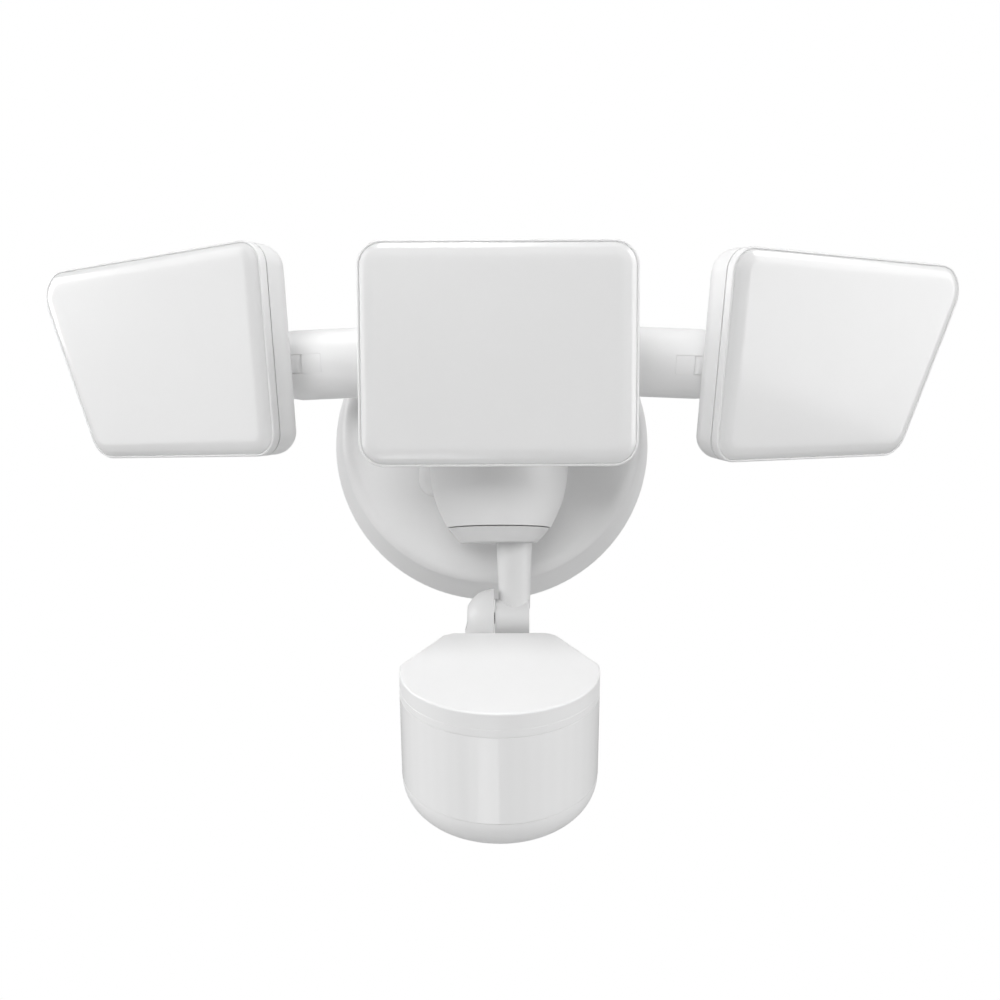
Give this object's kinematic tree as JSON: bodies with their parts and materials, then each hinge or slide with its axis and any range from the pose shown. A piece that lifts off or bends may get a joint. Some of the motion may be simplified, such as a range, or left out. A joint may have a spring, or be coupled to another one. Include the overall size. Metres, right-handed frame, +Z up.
{
  "type": "motion sensor security light",
  "caption": "Wall-mounted outdoor security light: round canopy and hub, lamp heads with frosted covers that tilt and turn, and a round motion sensor on an elbow below.",
  "frame": {"origin": "on the wall plane, midway between the bracket's two slots, on the canopy's axis", "axes": "+Y into the wall, -Y the way the light faces, +Z up, +X to the viewer's right"},
  "size_m": [0.3365, 0.121, 0.1997],
  "materials": {
    "white_coat": "smooth satin white coat on cast metal",
    "white_plastic": "smooth satin white plastic",
    "frosted_cover": "frosted milky cover",
    "seal_rubber": "matt black rubber",
    "light_board": "white solder mask",
    "light_chip": "yellow phosphor",
    "dial_grey": "dark grey plastic",
    "sensor_lens": "milky moulded lens",
    "green_board": "green solder mask",
    "detector_can": "plated can",
    "driver_case": "dark grey plastic",
    "terminal_ivory": "ivory plastic",
    "green_screw": "green dyed plating",
    "zinc_plate": "zinc plated",
    "steel_fixing": "plain steel"
  },
  "bodies": {
    "base": {"wall_gasket": "seal_rubber", "mounting_strap": "zinc_plate", "ground_screw": "green_screw", "left_stud": "steel_fixing", "right_stud": "steel_fixing", "canopy": "white_coat", "hub_pad": "white_coat", "left_cap_nut": "steel_fixing", "right_cap_nut": "steel_fixing", "led_driver": "driver_case", "terminal_block": "terminal_ivory", "wire_grommet": "seal_rubber", "hub_housing": "white_coat", "hub_cap": "white_coat", "upper_hub_screw": "steel_fixing", "lower_hub_screw": "steel_fixing", "center_hinge_screw": "steel_fixing", "center_hinge_nut": "steel_fixing"},
    "left_arm_body": {"left_arm": "white_coat", "left_arm_nut": "steel_fixing", "left_hinge_screw": "steel_fixing", "left_hinge_nut": "steel_fixing"},
    "left_head": {"left_housing": "white_coat", "left_seal": "seal_rubber", "left_cover": "frosted_cover", "left_led_board": "light_board", "left_leds": "light_chip"},
    "right_arm_body": {"right_arm": "white_coat", "right_arm_nut": "steel_fixing", "right_hinge_screw": "steel_fixing", "right_hinge_nut": "steel_fixing"},
    "right_head": {"right_housing": "white_coat", "right_seal": "seal_rubber", "right_cover": "frosted_cover", "right_led_board": "light_board", "right_leds": "light_chip"},
    "center_head": {"center_housing": "white_coat", "center_seal": "seal_rubber", "center_cover": "frosted_cover", "center_led_board": "light_board", "center_leds": "light_chip"},
    "sensor_arm": {"sensor_tube": "white_plastic", "sensor_tube_nut": "steel_fixing", "pivot_screw": "steel_fixing", "pivot_nut": "steel_fixing"},
    "sensor_head": {"sensor_stalk": "white_plastic", "sensor_top": "white_plastic", "sensor_body": "white_plastic", "sensor_lens": "sensor_lens", "sensor_board": "green_board", "pir_element": "detector_can"},
    "time_dial_body": {"time_dial": "dial_grey"},
    "range_dial_body": {"range_dial": "dial_grey"}
  },
  "joints": [
    {"name": "left_arm_tilt", "type": "hinge", "parent": "base", "child": "left_arm_body", "pos_m": [0.0029, -0.0576, 0.0238], "axis": [0.999, 0, 0.0436], "range_deg": [-30, 45]},
    {"name": "left_head_turn", "type": "hinge", "parent": "left_arm_body", "child": "left_head", "pos_m": [-0.07333, -0.0576, 0.02047], "axis": [-0.0426, -0.2164, 0.9754], "range_deg": [-17, 24]},
    {"name": "right_arm_tilt", "type": "hinge", "parent": "base", "child": "right_arm_body", "pos_m": [0.0029, -0.0576, 0.0238], "axis": [0.999, 0, -0.0436], "range_deg": [-30, 45]},
    {"name": "right_head_turn", "type": "hinge", "parent": "right_arm_body", "child": "right_head", "pos_m": [0.07913, -0.0576, 0.02047], "axis": [0.0416, -0.3007, 0.9528], "range_deg": [-24, 19]},
    {"name": "center_head_tilt", "type": "hinge", "parent": "base", "child": "center_head", "pos_m": [0.0029, -0.0883, 0.0131], "axis": [1, 0, 0], "range_deg": [-28, 15]},
    {"name": "sensor_turn", "type": "hinge", "parent": "base", "child": "sensor_arm", "pos_m": [0.0029, -0.0576, -0.0388], "axis": [0, 0, 1], "range_deg": [-60, 60]},
    {"name": "sensor_tilt", "type": "hinge", "parent": "sensor_arm", "child": "sensor_head", "pos_m": [0.0029, -0.0576, -0.0708], "axis": [1, 0, 0], "range_deg": [-30, 25]},
    {"name": "time_dial_turn", "type": "hinge", "parent": "sensor_head", "child": "time_dial_body", "pos_m": [-0.00792, -0.08424, -0.12924], "axis": [0, -0.3123, 0.95], "range_deg": [-135, 135]},
    {"name": "range_dial_turn", "type": "hinge", "parent": "sensor_head", "child": "range_dial_body", "pos_m": [0.01371, -0.08424, -0.12924], "axis": [0, -0.3123, 0.95], "range_deg": [-135, 135]}
  ]
}
